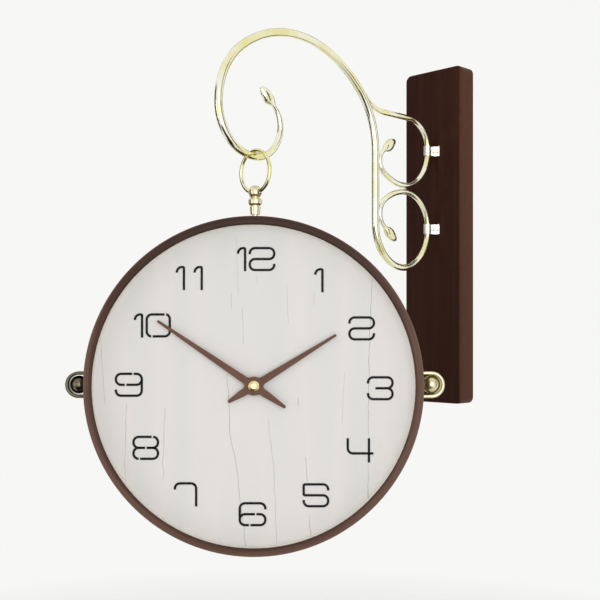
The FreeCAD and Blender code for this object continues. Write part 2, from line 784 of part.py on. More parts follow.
# Finial: turned brass, with a ball bored for the ring and a threaded stem through the case
from_top = "case_radius + "
finial = turned("finial", "XZ_Plane", "V_Axis", [
    ("0", "stem_end"),
    ("stem_radius", "stem_end"),
    ("stem_radius", from_top + "cone_base"),
    ("cone_foot", from_top + "cone_base"),
    ("cone_radius", from_top + "cone_top"),
    ("groove_radius", from_top + "cone_top"),
    ("groove_radius", from_top + "collar_base"),
    ("collar_radius - collar_round", from_top + "collar_base"),
    ("collar_radius", from_top + "collar_base + collar_round"),
    ("collar_radius", from_top + "collar_top - collar_round"),
    ("collar_radius - collar_round", from_top + "collar_top"),
    ("groove_radius", from_top + "collar_top"),
    ("groove_radius", from_top + "collar_top + ball_groove", "left", "ball_radius"),
    ("ball_radius", from_top + "ball_level", "left", "ball_radius"),
    ("0", from_top + "ball_level + ball_radius")])
bore = circle(sketch_on(finial, "YZ_Plane"), "0", from_top + "ball_level", "ball_hole")
pocket(finial, bore, "3 * ball_radius", "Symmetric")
keep(finial, "finial", swivel)


def stem_ring(label, shape_of, low, gauge, bore_radius):
    """A washer or nut on an upright stem."""
    body = new_body(label)
    sketch = sketch_on(body, "XY_Plane", low)
    shape_of(sketch)
    circle(sketch, "0", "0", bore_radius)
    pad(body, sketch, gauge)
    return body


keep(stem_ring("swivel_washer", lambda sketch: circle(sketch, "0", "0", "washer_radius"),
               "washer_base", "washer_gauge", "stem_radius"), "swivel_washer", swivel)
keep(stem_ring("swivel_nut", lambda sketch: outline(sketch, hexagon("swivel_nut_radius")),
               "swivel_nut_base", "swivel_nut_height", "stem_radius"), "swivel_nut", swivel)

# Case band: a bent wooden hoop, bored at the top for the swivel and at the sides for the knobs
band = tube("case_band", "case_inner", "case_radius", "band_end", "-band_end")
pocket(band, circle(sketch_on(band, "XY_Plane", "case_radius"), "0", "0", "bush_radius"), "2 * band_wall")
for side in ("", "-"):
    sketch = circle(sketch_on(band, "YZ_Plane", f"{side}(case_radius - band_wall / 2)"), "0", "0",
                    "knob_stem + seat_clearance")
    pocket(band, sketch, "2 * band_wall", "Symmetric")


def pin_places():
    """The four rim pins stand on the diagonals."""
    part = "rim_pin_ring * sqrt(2) / 2"
    return [(f"{x}{part}", f"{z}{part}") for x in ("", "-") for z in ("", "-")]


def pin_holes(body, level):
    """Blind holes for half of each rim pin, on either side of the level."""
    holes = sketch_on(body, "XZ_Plane", level)
    for x, z in pin_places():
        circle(holes, x, z, "rim_pin_radius")
    pocket(body, holes, "rim_pin_length", "Symmetric")


pin_holes(band, "band_end")
pin_holes(band, "-band_end")
keep(band, "case_band", in_case())

# Swivel bush: a brass sleeve through the band, flanged inside, on which the case hangs
keep(turned("swivel_bush", "XZ_Plane", "V_Axis", [
    ("stem_radius + swivel_clearance", "flange_base"),
    ("bush_flange_radius", "flange_base"),
    ("bush_flange_radius", "flange_top"),
    ("bush_radius", "flange_top"),
    ("bush_radius", "case_radius"),
    ("stem_radius + swivel_clearance", "case_radius")]), "swivel_bush", in_case())


def side_loop(label, turn):
    """A stirrup of round-edged brass standing on the case, closed by a thin strap under the knob."""
    body = new_body(label)
    foot, bend = "case_radius - band_wall / 2", "case_radius + stirrup_leg"
    out, inner = "stirrup_radius", "stirrup_inner"
    hoop = [(foot, f"-{out}"), (bend, f"-{out}", "left", out), (f"{bend} + {out}", "0", "left", out),
            (bend, out), (foot, out), (foot, inner), (bend, inner, "right", inner),
            (f"{bend} + {inner}", "0", "right", inner), (bend, f"-{inner}"), (foot, f"-{inner}")]
    pad(body, outline(sketch_on(body, "XZ_Plane"), hoop), "stirrup_width", "Symmetric")
    round_edges(body, "stirrup_round", lambda edge: edge.BoundBox.YLength < 1e-6 < edge.BoundBox.XLength)
    edge, middle = "sqrt(strap_radius ^ 2 - stirrup_inner ^ 2)", f"{inner} + stirrup_gauge / 2"
    strap = [(foot, f"-({middle})"), (edge, f"-({middle})"), (edge, f"-{inner}", "left", "strap_radius"),
             (edge, inner), (edge, middle), (foot, middle)]
    pad(body, outline(sketch_on(body, "XZ_Plane"), strap), "stirrup_width - 2 * stirrup_round", "Symmetric")
    rim = circle(sketch_on(body, "XZ_Plane"), "0", "0", "case_radius")
    pocket(body, rim, "2 * stirrup_width", "Symmetric")
    hole = circle(sketch_on(body, "YZ_Plane", "strap_radius"), "0", "0", "knob_stem + seat_clearance")
    pocket(body, hole, "2 * band_wall")
    return keep(body, label, in_case(turn))


def side_knob(label, turn):
    """A ball on a neck, with a threaded stem through the strap and the band."""
    root = "sqrt(knob_ball ^ 2 - knob_neck ^ 2)"
    body = turned(label, "XY_Plane", "H_Axis", [
        ("knob_stem_end", "0"),
        ("knob_stem_end", "knob_stem"),
        ("strap_radius", "knob_stem"),
        ("strap_radius", "knob_neck"),
        (f"knob_centre - {root}", "knob_neck", "right", "knob_ball"),
        ("knob_centre", "knob_ball", "right", "knob_ball"),
        ("knob_centre + knob_ball", "0")])
    return keep(body, label, in_case(turn))


def side_nut(name, turn):
    """A hexagon nut inside the band."""
    body = new_body(name)
    sketch = outline(sketch_on(body, "YZ_Plane", "knob_nut_face - knob_nut_height"),
                     hexagon("knob_nut_radius"))
    circle(sketch, "0", "0", "knob_stem")
    pad(body, sketch, "knob_nut_height")
    body.Placement = in_case(turn)
    return body


SIDES = (("right", 0), ("left", 180))
for side, turn in SIDES:
    side_loop("side_loop_" + side, turn)
    side_knob("side_knob_" + side, turn)
group("side_knob_nuts", [side_nut("knob_nut_" + side, turn) for side, turn in SIDES])


def bezel(label, place):
    """The wooden rim round a face: its lip keeps the glass in, its rim is rounded over."""
    body = turned(label, "XY_Plane", "V_Axis", [
        ("bezel_opening", "rim_front"), ("case_radius", "rim_front"), ("case_radius", "band_end"),
        ("bezel_seat", "band_end"), ("bezel_seat", "glass_front"), ("bezel_opening", "glass_front")])
    for size, radius in (("case_radius", "rim_outer_round"), ("bezel_opening", "rim_inner_round")):
        round_edges(body, radius, lambda edge: abs(edge.BoundBox.XMax - number(size)) < 1e-3
                    and abs(edge.BoundBox.YMax - number("rim_front")) < 1e-3)
    pin_holes(body, "band_end")
    return keep(body, label, place)


def rim_pins(label, place):
    """Four pins that key the rim to the band."""
    pins = []
    for i, (x, z) in enumerate(pin_places()):
        local = spot(number(x), number("band_end + rim_pin_length / 2"), number(z), Vector(1, 0, 0), 90)
        pins.append(primitive("Cylinder", f"{label}_{i}", place.multiply(local),
                              Radius="rim_pin_radius", Height="rim_pin_length"))
    return group(label, pins)


def dial(label, place):
    """A painted wooden disc clamped between the spacer and the band."""
    return keep(tube(label, "centre_tube_radius + seat_clearance", "seat_radius", "dial_front", "band_end"),
                label, place)


def movement_case(label, place):
    """A moulded box with a chamber for the wheels and an open bay for the cell below it."""
    body = new_body(label)
    box = rectangle("-half_movement", "half_movement", "movement_base", "half_movement")
    pad(body, outline(sketch_on(body, "XZ_Plane", "movement_back"), box), "movement_depth")
    for low, high in (("bay_base", "bay_top"), ("chamber_base", "half_chamber")):
        room = rectangle("-half_chamber", "half_chamber", low, high)
        pocket(body, outline(sketch_on(body, "XZ_Plane", "floor_level"), room), "movement_depth")
    for x, radius in (("0", "centre_tube_radius"), ("motion_offset", "pivot_radius + running_clearance")):
        hole = circle(sketch_on(body, "XZ_Plane", "band_end"), x, "0", radius)
        pocket(body, hole, "movement_wall")
    return keep(body, label, place)


def movement_cover(label, place):
    """The back plate of the wheel chamber, with a bearing for the minute arbor's pivot."""
    body = new_body(label)
    plate = rectangle("-half_movement", "half_movement", "bay_top", "half_movement")
    pad(body, outline(sketch_on(body, "XZ_Plane", "cover_back"), plate), "cover_gauge")
    boss = circle(sketch_on(body, "XZ_Plane", "movement_back"), "0", "0", "cover_boss_radius")
    pad(body, boss, "cover_boss_height")
    bearing = circle(sketch_on(body, "XZ_Plane", "cover_boss_front"), "0", "0",
                     "pivot_radius + running_clearance")
    pocket(body, bearing, "cover_boss_height")
    hole = circle(sketch_on(body, "XZ_Plane", "movement_back"), "motion_offset", "0",
                  "motion_arbor_radius + running_clearance")
    pocket(body, hole, "cover_gauge")
    return keep(body, label, place)


def centre_bush(label, place):
    """A threaded brass tube through the dial, flanged inside the movement."""
    return keep(turned(label, "XY_Plane", "V_Axis", [
        ("centre_tube_bore", "centre_tube_front"), ("centre_tube_radius", "centre_tube_front"),
        ("centre_tube_radius", "floor_level"), ("centre_flange_radius", "floor_level"),
        ("centre_flange_radius", "centre_flange_back"), ("centre_tube_bore", "centre_flange_back")]),
        label, place)


def dial_nut(label, place):
    """The hexagon nut that clamps the movement to the dial."""
    body = new_body(label)
    sketch = outline(sketch_on(body, "XZ_Plane", "dial_front"), hexagon("dial_nut_radius"))
    circle(sketch, "0", "0", "centre_tube_radius")
    pad(body, sketch, "dial_nut_height")
    return keep(body, label, place)


def battery(label, place):
    """One cell, with its cap to one side."""
    shoulder = "battery_length / 2 - battery_cap_height"
    body = turned(label, "XY_Plane", "H_Axis", [
        ("-battery_length / 2", "0"), ("-battery_length / 2", "battery_radius"),
        (shoulder, "battery_radius"), (shoulder, "battery_cap_radius"),
        ("battery_length / 2", "battery_cap_radius"), ("battery_length / 2", "0")])
    local = spot(0, number("battery_level"), number("battery_height"))
    return keep(body, label, place.multiply(local))


def battery_contacts(label, place):
    """A sprung plate at either end of the cell."""
    plates = []
    for side, turn in (("plus", 0), ("minus", 180)):
        body = new_body(f"{label}_{side}")
        half = "contact_width / 2"
        sketch = sketch_on(body, "YZ_Plane", "half_chamber - contact_gauge")
        outline(sketch, rectangle(f"-{half}", half, f"-{half}", half))
        pad(body, sketch, "contact_gauge")
        spring = circle(sketch_on(body, "YZ_Plane", "battery_length / 2"), "0", "0", "contact_width / 4")
        pad(body, spring, "contact_spring")
        local = spot(0, number("battery_level"), number("battery_height"), Vector(0, 0, 1), turn)
        body.Placement = place.multiply(local)
        plates.append(body)
    return group(label, plates)


def drive_coil(label, place):
    """The stepping motor's winding between two square cheeks that stand on the movement's floor."""
    body = turned(label, "XY_Plane", "H_Axis", [
        ("-coil_length / 2", "0"), ("-coil_length / 2", "coil_radius"),
        ("coil_length / 2", "coil_radius"), ("coil_length / 2", "0")])
    cheek = rectangle("-coil_flange / 2", "coil_flange / 2", "-coil_flange / 2", "coil_flange / 2")
    for level in ("coil_length / 2 - coil_flange_gauge", "-coil_length / 2"):
        pad(body, outline(sketch_on(body, "YZ_Plane", level), cheek), "coil_flange_gauge")
    local = spot(number("-half_chamber / 2"), number("floor_level + coil_flange / 2"),
                 number("coil_height"))
    return keep(body, label, place.multiply(local))


def circuit_board(label, place):
    """A small printed board on the movement's floor."""
    corner = spot(number("half_chamber / 2 - board_plate_width / 2"), number("floor_level"),
                  number("coil_height - board_plate_height / 2"))
    return keep(primitive("Box", label, place.multiply(corner), Length="board_plate_width",
                          Width="board_plate_gauge", Height="board_plate_height"), label)


def hand(label, place, length, tail, back, bore_radius):
    """A flat tapered hand with a round hub and a tail."""
    body = new_body(label)
    root, tip, end = "hand_root_width / 2", "hand_tip_width / 2", "hand_tail_width / 2"
    blade = [(root, "hand_root"), (tip, length, "left", "hand_tip_round"), (f"-{tip}", length),
             (f"-{root}", "hand_root"), (f"-{root}", "-hand_root"),
             (f"-{end}", f"-{tail}", "left", "hand_tail_round"), (end, f"-{tail}"), (root, "-hand_root")]
    pad(body, outline(sketch_on(body, "XZ_Plane", back), blade), "hand_gauge")
    pad(body, circle(sketch_on(body, "XZ_Plane", back), "0", "0", "hand_hub_radius"), "hand_gauge")
    hub, front = number("hand_hub_radius"), f"{back} - hand_gauge"
    round_edges(body, "hand_blend", lambda edge: edge.BoundBox.YLength > number("hand_gauge") / 2
                and abs(math.hypot(edge.CenterOfMass.x, edge.CenterOfMass.z) - hub) < 1e-3)
    pocket(body, circle(sketch_on(body, "XZ_Plane", front), "0", "0", bore_radius), "hand_gauge")
    return keep(body, label, place)


def hour_pipe(label, place):
    """The hour wheel on its pipe, which turns on the minute arbor inside the centre bush."""
    body = turned(label, "XY_Plane", "V_Axis", [
        ("hour_pipe_bore", "hour_hand_front"), ("hour_pipe_radius", "hour_hand_front"),
        ("hour_pipe_radius", "hour_wheel_front"), ("hour_root", "hour_wheel_front"),
        ("hour_root", "hour_wheel_back"), ("hour_pipe_bore", "hour_wheel_back")])
    ring_of_teeth(body, "hour_teeth", "hour_root", "hour_wheel_front", "wheel_gauge", "180 / hour_teeth")
    return keep(body, label, place)


def minute_arbor(label, place):
    """The minute arbor with its cannon pinion, a seat for the hand and a pivot in the cover."""
    body = turned(label, "XY_Plane", "V_Axis", [
        ("0", "arbor_front"), ("minute_seat_radius", "arbor_front"),
        ("minute_seat_radius", "minute_hand_back"), ("minute_arbor_radius", "minute_hand_back"),
        ("minute_arbor_radius", "cannon_front"), ("cannon_root", "cannon_front"),
        ("cannon_root", "cannon_back"), ("pivot_radius", "cannon_back"),
        ("pivot_radius", "movement_back - wheel_gap"), ("0", "movement_back - wheel_gap")])
    ring_of_teeth(body, "cannon_teeth", "cannon_root", "cannon_front", "cannon_back - cannon_front")
    return keep(body, label, place)


def hand_cap(label, place):
    """A domed brass nut that holds the hands on."""
    return keep(turned(label, "XY_Plane", "V_Axis", [
        ("0", "cap_front"), ("cap_radius / 2", "cap_front"), ("cap_radius", "arbor_front"),
        ("cap_radius", "minute_hand_front"), ("minute_seat_radius", "minute_hand_front"),
        ("minute_seat_radius", "arbor_front"), ("0", "arbor_front")]), label, place)


def motion_wheel(label, place):
    """The wheel and pinion between minute and hour, on the arbor of the setting knob."""
    body = turned(label, "XY_Plane", "V_Axis", [
        ("0", "band_end + wheel_gap"), ("pivot_radius", "band_end + wheel_gap"),
        ("pivot_radius", "pinion_front"), ("pinion_root", "pinion_front"),
        ("pinion_root", "motion_wheel_front"), ("motion_root", "motion_wheel_front"),
        ("motion_root", "motion_wheel_back"), ("motion_arbor_radius", "motion_wheel_back"),
        ("motion_arbor_radius", "setting_knob_front + setting_knob_height / 2"),
        ("0", "setting_knob_front + setting_knob_height / 2")])
    pinion_gauge = "motion_wheel_front - pinion_front"
    ring_of_teeth(body, "pinion_teeth", "pinion_root", "pinion_front", pinion_gauge)
    ring_of_teeth(body, "motion_teeth", "motion_root", "motion_wheel_front", "wheel_gauge",
                  "180 / motion_teeth")
    return keep(body, label, place)


def setting_knob(label, place):
    """A dished thumb knob behind the movement."""
    return keep(turned(label, "XY_Plane", "V_Axis", [
        ("motion_arbor_radius", "setting_knob_front"), ("setting_knob_radius", "setting_knob_front"),
        ("setting_knob_radius", "setting_knob_back"), ("setting_knob_dish", "setting_knob_back"),
        ("setting_knob_dish", "setting_knob_back - setting_knob_dish_depth"),
        ("0", "setting_knob_back - setting_knob_dish_depth"),
        ("0", "setting_knob_front + setting_knob_height / 2"),
        ("motion_arbor_radius", "setting_knob_front + setting_knob_height / 2")]), label, place)


for face, turn in (("front", 0), ("rear", 180)):
    place = in_case(turn)
    offset = in_case(turn, number("motion_offset"))
    bezel(face + "_bezel", place)
    rim_pins(face + "_rim_pins", place)
    keep(tube(face + "_glass", "0", "seat_radius", "glass_front", "glass_back"), face + "_glass", place)
    keep(tube(face + "_spacer_ring", "seat_radius - spacer_wall", "seat_radius", "glass_back", "dial_front"),
         face + "_spacer_ring", place)
    dial(face + "_dial", place)
    movement_case(face + "_movement_case", place)
    movement_cover(face + "_movement_cover", place)
    centre_bush(face + "_centre_bush", place)
    dial_nut(face + "_dial_nut", place)
    battery(face + "_battery", place)
    battery_contacts(face + "_battery_contacts", place)
    drive_coil(face + "_drive_coil", place)
    circuit_board(face + "_circuit_board", place)
    hand(face + "_hour_hand", in_case(turn, spin=number("hour_hand_angle")), "hour_hand_length",
         "hour_hand_tail", "hour_hand_back", "hour_pipe_radius")
    hour_pipe(face + "_hour_pipe", place)
    hand(face + "_minute_hand", in_case(turn, spin=number("minute_hand_angle")), "minute_hand_length",
         "minute_hand_tail", "minute_hand_back", "minute_seat_radius")
    minute_arbor(face + "_minute_arbor", place)
    hand_cap(face + "_hand_cap", place)
    motion_wheel(face + "_motion_wheel", offset)
    setting_knob(face + "_setting_knob", offset)

doc.recompute()
for item in doc.Objects:
    if {"Invalid", "Error"} & set(item.State):
        raise ValueError(f"{item.Label} failed: {item.State}")
for node in nodes:
    if node.Shape.isNull() or not node.Shape.isValid():
        raise ValueError(f"{node.Label} has no valid shape")

os.makedirs("parts", exist_ok=True)
for node in nodes:
    node.Shape.exportStep(f"parts/{node.Label}.step")
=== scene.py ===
import math
import bmesh
import bpy
from mathutils import Matrix, Vector


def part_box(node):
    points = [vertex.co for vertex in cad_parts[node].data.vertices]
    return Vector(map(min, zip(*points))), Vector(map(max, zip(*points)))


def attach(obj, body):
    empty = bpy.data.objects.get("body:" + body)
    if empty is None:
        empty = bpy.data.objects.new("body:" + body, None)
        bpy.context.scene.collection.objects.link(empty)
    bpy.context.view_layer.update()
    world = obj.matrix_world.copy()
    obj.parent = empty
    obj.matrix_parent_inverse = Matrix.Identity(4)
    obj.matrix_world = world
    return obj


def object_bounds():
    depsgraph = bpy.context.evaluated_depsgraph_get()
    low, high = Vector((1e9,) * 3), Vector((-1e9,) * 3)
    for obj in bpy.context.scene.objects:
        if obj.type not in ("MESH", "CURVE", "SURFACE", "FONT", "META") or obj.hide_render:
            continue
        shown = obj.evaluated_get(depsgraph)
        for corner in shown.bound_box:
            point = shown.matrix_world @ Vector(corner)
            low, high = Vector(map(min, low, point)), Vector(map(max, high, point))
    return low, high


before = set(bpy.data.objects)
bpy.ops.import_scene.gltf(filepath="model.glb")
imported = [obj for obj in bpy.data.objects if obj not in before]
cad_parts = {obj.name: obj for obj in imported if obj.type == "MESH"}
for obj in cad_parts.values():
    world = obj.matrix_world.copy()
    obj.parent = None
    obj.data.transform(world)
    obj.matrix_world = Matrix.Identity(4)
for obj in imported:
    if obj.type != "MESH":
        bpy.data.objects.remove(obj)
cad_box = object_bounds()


# Wall board: a straight-grained hardwood plank, eased along its front edges, stained dark and lacquered
# to a satin sheen. It hangs on the wall and carries the whole bracket.
class Shade:
    """A value in a material. Arithmetic on it adds the Math nodes that work it out."""

    def __init__(self, socket):
        self.socket = socket

    def node(self, kind, inputs=(), out=0, stops=(), **settings):
        """Add a node with its settings, and the values or links of its sockets."""
        tree = self.socket.id_data
        made = tree.nodes.new("ShaderNode" + kind)
        for name, value in settings.items():
            setattr(made, name, value)
        for index, (position, colour) in enumerate(stops):
            ramp = made.color_ramp.elements
            stop = ramp[index] if index < len(ramp) else ramp.new(position)
            stop.position = position
            stop.color = (*colour, 1)
        for name, value in dict(inputs).items():
            if isinstance(value, Shade):
                tree.links.new(value.socket, made.inputs[name])
            else:
                made.inputs[name].default_value = value
        return Shade(made.outputs[out])

    def math(self, operation, first, second=0.0):
        return self.node("Math", {0: first, 1: second}, operation=operation)

    def __add__(self, other):
        return self.math("ADD", self, other)

    def __radd__(self, other):
        return self.math("ADD", other, self)

    def __sub__(self, other):
        return self.math("SUBTRACT", self, other)

    def __rsub__(self, other):
        return self.math("SUBTRACT", other, self)

    def __mul__(self, other):
        return self.math("MULTIPLY", self, other)

    def __rmul__(self, other):
        return self.math("MULTIPLY", other, self)

    def __truediv__(self, other):
        return self.math("DIVIDE", self, other)

    def __gt__(self, other):
        return self.math("GREATER_THAN", self, other)

    def __lt__(self, other):
        return self.math("LESS_THAN", self, other)

    def __abs__(self):
        return self.math("ABSOLUTE", self)

    def clamped(self):
        return self.node("Clamp", {"Value": self})

    def noise(self, scale, detail=4.0, rough=0.55):
        """Noise read at these coordinates, stretched by one scale for each axis."""
        spread = self.node("Mapping", {"Vector": self, "Scale": scale})
        return self.node("TexNoise", {"Vector": spread, "Scale": 1.0, "Detail": detail, "Roughness": rough})

    def ramp(self, *stops):
        return self.node("ValToRGB", {"Fac": self}, stops=stops)

    def blend(self, first, second, mode="MIX"):
        """Two colours mixed by this value."""
        return self.node("Mix", {0: self, 6: first, 7: second}, out=2, data_type="RGBA", blend_type=mode)


def new_finish(name, **sockets):
    """A material with its constant sockets set. Gives it, its shader and the object coordinates."""
    material = bpy.data.materials.new(name)
    material.use_nodes = True
    shader = material.node_tree.nodes["Principled BSDF"]
    for socket, value in sockets.items():
        shader.inputs[socket.replace("_", " ")].default_value = value
    place = material.node_tree.nodes.new("ShaderNodeTexCoord").outputs["Object"]
    return material, shader, Shade(place)


def feed(shader, **shades):
    """Link values that vary over the surface to the shader's sockets."""
    for socket, shade in shades.items():
        shader.id_data.links.new(shade.socket, shader.inputs[socket.replace("_", " ")])


def relief(height, strength, distance):
    """A bump of this height for a shader's normal."""
    return height.node("Bump", {"Height": height, "Strength": strength, "Distance": distance})


def dress(material, *names):
    """Give CAD nodes this material."""
    for name in names:
        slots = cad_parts[name].data.materials
        slots.clear()
        slots.append(material)


FIGURE = (38, 38, 2.2)  # this and the next two: changes to the metre across, through and along the grain
FIBRE = (420, 420, 9)
PORES = (1500, 1500, 55)
PORE_LEVEL = 0.66
# Width and start of the band of painted light on the board's long side faces.
SIDE_LIGHT_FADE = 0.002
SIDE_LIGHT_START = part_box("wall_board")[1].x - 1.2 * SIDE_LIGHT_FADE


def stained_wood(name, dark, middle, light, gloss, side_light=None, grain=None, painted_light=None):
    """Hardwood with grain along Z, or as grain bends it: broad figure, fine fibres and short open pores.

    The side colour is painted light on the board's long sides; the last argument paints highlight and
    shade.
    """
    material, shader, place = new_finish(name, Coat_Roughness=0.25, Specular_IOR_Level=gloss)
    along = grain(place) if grain else place
    figure = along.noise(FIGURE, 5)
    fibre = along.noise(FIBRE, 6, 0.65)
    pores = along.noise(PORES, 2) > PORE_LEVEL
    tone = figure * 0.55 + fibre * 0.45
    # Painted light: highlight and shade painted into the tone.
    if painted_light:
        tone = tone + painted_light(place)
    stain = tone.ramp((0.3, dark), (0.5, middle), (0.72, light))
    if side_light:
        # Painted light: the long side faces are painted paler, as if lit from the side.
        reach = abs(place.node("SeparateXYZ", {0: place})) + fibre * SIDE_LIGHT_FADE
        stain = ((reach - SIDE_LIGHT_START) / SIDE_LIGHT_FADE).clamped().blend(stain, (*side_light, 1), "ADD")
    feed(shader, Base_Color=(pores * 0.55).blend(stain, (*dark, 1)),
         Roughness=0.36 + fibre * 0.2 + pores * 0.2,
         Coat_Weight=gloss * (0.6 - pores * 0.4),
         Normal=relief(fibre * 0.5 - pores * 0.6, 0.2, 0.0001))
    return material


# The board's side faces carry painted light, which makes them paler than its front.
board_stain_and_painted_side_light = stained_wood(
    "board_stain_and_painted_side_light", dark=(0.02, 0.005, 0.0022), middle=(0.032, 0.0088, 0.004), light=(0.05, 0.016, 0.0075),
    gloss=0.08, side_light=(0.052, 0.021, 0.012))
dress(board_stain_and_painted_side_light, "wall_board")


# Keyhole hangers and their countersunk screws: pressed steel, zinc plated with a cloudy, slightly
# streaked passivation. They sit flush in the board's back.
def plated_steel(name, colour):
    """Steel plated in this colour, a quarter paler where the plating clouds."""
    material, shader, place = new_finish(name, Metallic=1.0)
    cloud = place.noise((220, 220, 90), 5)
    streak = place.noise((2400, 2400, 160), 2)
    pale = tuple(min(1.0, 1.25 * part) for part in colour)
    feed(shader, Base_Color=cloud.ramp((0.3, colour), (0.7, pale)), Roughness=0.26 + cloud * 0.25,
         Normal=relief(streak, 0.12, 0.0001))
    return material


zinc = plated_steel("zinc_plate", (0.3, 0.31, 0.32))
dress(zinc, "keyhole_hangers", "hanger_screws", "front_rim_pins", "rear_rim_pins",
      "front_battery_contacts", "rear_battery_contacts")


# Scrolled rods, strap clips, ring, finial and side fittings: forged, bent and turned brass, polished pale
# on the rods and clips, satin on the finial and rubbed on the right fitting. The left fitting is painted
# nearly black, a painted reflection of dark surroundings. The small turned pieces inside the case are
# plainer.
def polished_brass(name, pale, deep, rough):
    """Brass that clouds slowly from pale to deep, with fine scratches in its shine."""
    material, shader, place = new_finish(name, Metallic=1.0)
    cloud = place.noise((26, 26, 26), 3)
    scratch = place.noise((1800, 1800, 300), 3)
    feed(shader, Base_Color=cloud.ramp((0.38, deep), (0.62, pale)),
         Roughness=rough + cloud * 0.06 + scratch * 0.05)
    return material


bright_brass = polished_brass("bright_brass", (0.95, 0.935, 0.78), (0.86, 0.79, 0.4), 0.07)
dress(bright_brass, "main_scroll", "side_scroll", "hanging_ring")
satin_brass = polished_brass("satin_brass", (0.92, 0.85, 0.64), (0.8, 0.71, 0.45), 0.2)
dress(satin_brass, "finial")
rubbed_brass = polished_brass("rubbed_brass", (0.78, 0.71, 0.48), (0.62, 0.55, 0.32), 0.2)
dress(rubbed_brass, "side_loop_right", "side_knob_right")
# The left fitting: brass painted nearly black, a painted reflection of dark surroundings.
brass_painted_dark_reflection = polished_brass("brass_painted_dark_reflection", (0.18, 0.155, 0.11), (0.09, 0.076, 0.05), 0.16)
dress(brass_painted_dark_reflection, "side_loop_left", "side_knob_left")
strap_brass = polished_brass("strap_brass", (0.98, 0.97, 0.92), (0.96, 0.94, 0.84), 0.14)
dress(strap_brass, "upper_clip", "lower_clip", "clip_screws")
turned_brass = polished_brass("turned_brass", (0.72, 0.58, 0.28), (0.6, 0.45, 0.18), 0.24)
dress(turned_brass, "swivel_washer", "swivel_nut", "swivel_bush", "side_knob_nuts", "front_centre_bush",
      "rear_centre_bush", "front_dial_nut", "rear_dial_nut", "front_minute_arbor", "rear_minute_arbor")


# Case band and the two rims: a bent hoop and turned rings of the board's wood, stained a little redder,
# rounded over to a soft shine. The rims carry painted light: a painted highlight paler round the outside,
# and painted shade darker at the opening and at the top.
CASE_TURN = math.radians(45)
MM = 1000  # millimetres to the metre
across = Vector((math.cos(CASE_TURN), math.sin(CASE_TURN), 0))
facing = Vector((across.y, -across.x, 0))
hub_low, hub_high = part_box("case_band")
hub = (hub_low + hub_high) / 2
RIM_RADIUS = MM * (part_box("front_bezel")[1].z - hub.z)
RIM_WIDTH = 9
# Painted light on the rims: its range, its shift, and where the painted shade at the top begins.
RIM_LIGHT_RANGE = 0.4
RIM_LIGHT_LEVEL = 0.08
TOP_START = 0.3


def face_place(place, side=1):
    """Millimetres across and up from the case's middle, square to a face, and both as one vector."""
    offset = place.node("VectorMath", {0: place, 1: hub}, operation="SUBTRACT")
    right = offset.node("VectorMath", {0: offset, 1: across * side}, out=1, operation="DOT_PRODUCT") * MM
    up = offset.node("SeparateXYZ", {0: offset}, out=2) * MM
    return right, up, right.node("CombineXYZ", {0: right, 2: up})


def hoop_radius(face):
    """Millimetres out from the case's axis."""
    return face.node("VectorMath", {0: face}, out=1, operation="LENGTH")


def hoop_grain(place):
    """Coordinates that follow the bent wood: out from the case's axis, along it and round it."""
    right, up, face = face_place(place)
    depth = place.node("VectorMath", {0: place, 1: facing}, out=1, operation="DOT_PRODUCT")
    round_hoop = up.math("ARCTAN2", up, right) * (RIM_RADIUS / MM)
    return right.node("CombineXYZ", {0: hoop_radius(face) / MM, 1: depth, 2: round_hoop})


def rubbed_rim(place):
    """Painted light on the rims: painted highlight paler outside, painted shade darker at the opening and
    top.
    """
    _, up, face = face_place(place)
    outside = (1 + (hoop_radius(face) - RIM_RADIUS) / RIM_WIDTH).clamped()
    top = ((up / RIM_RADIUS - TOP_START) / (1 - TOP_START)).clamped()
    return outside * RIM_LIGHT_RANGE - top * RIM_LIGHT_RANGE - RIM_LIGHT_LEVEL


hoop_stain = stained_wood(
    "hoop_stain", dark=(0.037, 0.0132, 0.0068), middle=(0.066, 0.0265, 0.015), light=(0.11, 0.05, 0.031),
    gloss=0.2, grain=hoop_grain)
dress(hoop_stain, "case_band")
# The rims' stain carries a painted highlight outside and painted shade at the opening and top.
rim_stain_and_painted_light = stained_wood(
    "rim_stain_and_painted_light", dark=(0.037, 0.0132, 0.0068), middle=(0.07, 0.0285, 0.0165), light=(0.15, 0.078, 0.054),
    gloss=0.2, grain=hoop_grain, painted_light=rubbed_rim)
dress(rim_stain_and_painted_light, "front_bezel", "rear_bezel")


# Glasses: flat clear panes held behind the rims' lips, clean but for the faintest bloom. They show most
# where they are seen at a slant, so that the dials stay clear.
GLASS_IOR = 1.45
pane, pane_shader, pane_place = new_finish("clear_pane", Base_Color=(0.4, 0.42, 0.41, 1), IOR=GLASS_IOR)
bloom = pane_place.noise((9, 9, 9), 4)
slant = pane_place.node("Fresnel", {"IOR": GLASS_IOR})
feed(pane_shader, Alpha=0.003 + bloom * 0.004 + slant * 0.08, Roughness=0.02 + bloom * 0.04)
dress(pane, "front_glass", "rear_glass")


# Spacer rings: strips of board bent inside the rims, which keep the dials off the glasses. They are
# painted cream, with the brush's marks round them.
cream, cream_shader, cream_place = new_finish("cream_paint")
brush = cream_place.noise((60, 60, 900), 4)
feed(cream_shader, Base_Color=brush.ramp((0.3, (0.76, 0.72, 0.65)), (0.7, (0.86, 0.83, 0.77))),
     Roughness=0.5 + brush * 0.2, Normal=relief(brush, 0.15, 0.0002))
dress(cream, "front_spacer_ring", "rear_spacer_ring")


